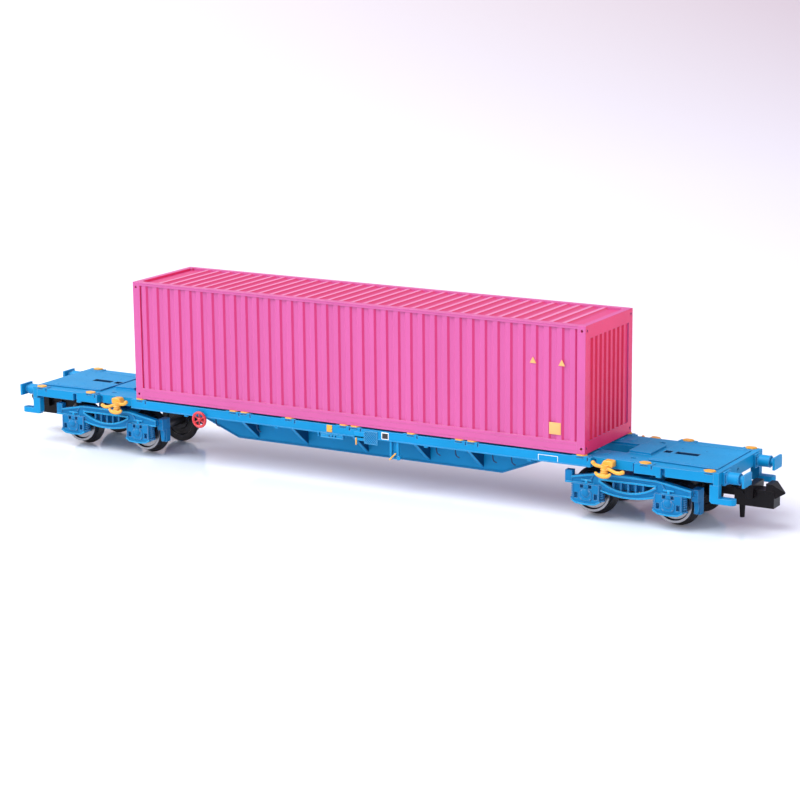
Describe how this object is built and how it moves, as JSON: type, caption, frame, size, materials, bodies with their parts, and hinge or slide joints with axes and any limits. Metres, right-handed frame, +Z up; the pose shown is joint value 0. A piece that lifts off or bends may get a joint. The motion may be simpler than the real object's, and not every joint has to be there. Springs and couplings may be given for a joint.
{
  "type": "model bogie container flat wagon with container, 1:160 scale",
  "caption": "Small-scale model of a bogie container flat wagon carrying one high-cube container, with swivelling bogies, rolling wheelsets and hook couplers.",
  "frame": {"origin": "on the table, under the middle of the wagon", "axes": "+X along the wagon towards end a, +Y across it towards the far side, +Z up"},
  "size_m": [0.1292, 0.0182, 0.0273],
  "materials": {
    "wagon_paint": "satin bright blue paint on die-cast metal",
    "fitting_plastic": "bright blue moulded plastic, satin",
    "bogie_plastic": "bright blue moulded plastic, satin",
    "fitting_yellow": "yellow-orange paint",
    "handwheel_red": "red paint",
    "coupler_plastic": "black moulded plastic, slightly glossy",
    "screw_steel": "turned steel",
    "wheel_metal": "blackened turned metal, worn bright on the rim",
    "axle_steel": "blackened steel",
    "container_plastic": "magenta-pink painted moulding, satin"
  },
  "bodies": {
    "wagon_frame": {"solebar_near": "wagon_paint", "solebar_far": "wagon_paint", "main_beam_near": "wagon_paint", "main_beam_far": "wagon_paint", "cross_beams": "wagon_paint", "headstock_a": "wagon_paint", "headstock_b": "wagon_paint", "end_deck_a": "wagon_paint", "end_deck_b": "wagon_paint", "bolster_a": "wagon_paint", "bolster_b": "wagon_paint", "buffers_a": "fitting_plastic", "buffers_b": "fitting_plastic", "steps_a": "fitting_plastic", "steps_b": "fitting_plastic", "rope_hooks": "fitting_yellow", "handwheels": "handwheel_red", "spigots": "fitting_yellow", "side_fittings": "fitting_plastic", "air_reservoir": "fitting_plastic", "coupler_pocket_a": "coupler_plastic", "coupler_pocket_b": "coupler_plastic", "bogie_screw_a": "screw_steel", "bogie_screw_b": "screw_steel"},
    "container": {"container_side_near": "container_plastic", "container_side_far": "container_plastic", "container_end_a": "container_plastic", "container_end_b": "container_plastic", "container_roof": "container_plastic", "container_floor": "container_plastic"},
    "bogie_a": {"bogie_frame_a": "bogie_plastic"},
    "bogie_b": {"bogie_frame_b": "bogie_plastic"},
    "wheelset_a1": {"wheels_a1": "wheel_metal", "axle_a1": "axle_steel"},
    "wheelset_a2": {"wheels_a2": "wheel_metal", "axle_a2": "axle_steel"},
    "wheelset_b1": {"wheels_b1": "wheel_metal", "axle_b1": "axle_steel"},
    "wheelset_b2": {"wheels_b2": "wheel_metal", "axle_b2": "axle_steel"},
    "coupler_a": {"coupler_a": "coupler_plastic"},
    "coupler_b": {"coupler_b": "coupler_plastic"}
  },
  "joints": [
    {"name": "bogie_swivel_a", "type": "hinge", "parent": "wagon_frame", "child": "bogie_a", "pos_m": [0.04442, 0, 0.0071], "axis": [0, 0, 1], "range_deg": [-12, 12]},
    {"name": "wheel_spin_a1", "type": "hinge", "parent": "bogie_a", "child": "wheelset_a1", "pos_m": [0.05062, 0, 0.00345], "axis": [0, 1, 0], "continuous": true},
    {"name": "wheel_spin_a2", "type": "hinge", "parent": "bogie_a", "child": "wheelset_a2", "pos_m": [0.03822, 0, 0.00345], "axis": [0, 1, 0], "continuous": true},
    {"name": "coupler_swing_a", "type": "hinge", "parent": "wagon_frame", "child": "coupler_a", "pos_m": [0.0536, 0, 0.0049], "axis": [0, 0, 1], "range_deg": [-10, 10]},
    {"name": "bogie_swivel_b", "type": "hinge", "parent": "wagon_frame", "child": "bogie_b", "pos_m": [-0.04442, 0, 0.0071], "axis": [0, 0, 1], "range_deg": [-12, 12]},
    {"name": "wheel_spin_b1", "type": "hinge", "parent": "bogie_b", "child": "wheelset_b1", "pos_m": [-0.05062, 0, 0.00345], "axis": [0, 1, 0], "continuous": true},
    {"name": "wheel_spin_b2", "type": "hinge", "parent": "bogie_b", "child": "wheelset_b2", "pos_m": [-0.03822, 0, 0.00345], "axis": [0, 1, 0], "continuous": true},
    {"name": "coupler_swing_b", "type": "hinge", "parent": "wagon_frame", "child": "coupler_b", "pos_m": [-0.0536, 0, 0.0049], "axis": [0, 0, 1], "range_deg": [-10, 10]},
    {"name": "container_lift", "type": "slide", "parent": "wagon_frame", "child": "container", "axis": [0, 0, 1], "range_m": [0, 0.015]}
  ]
}
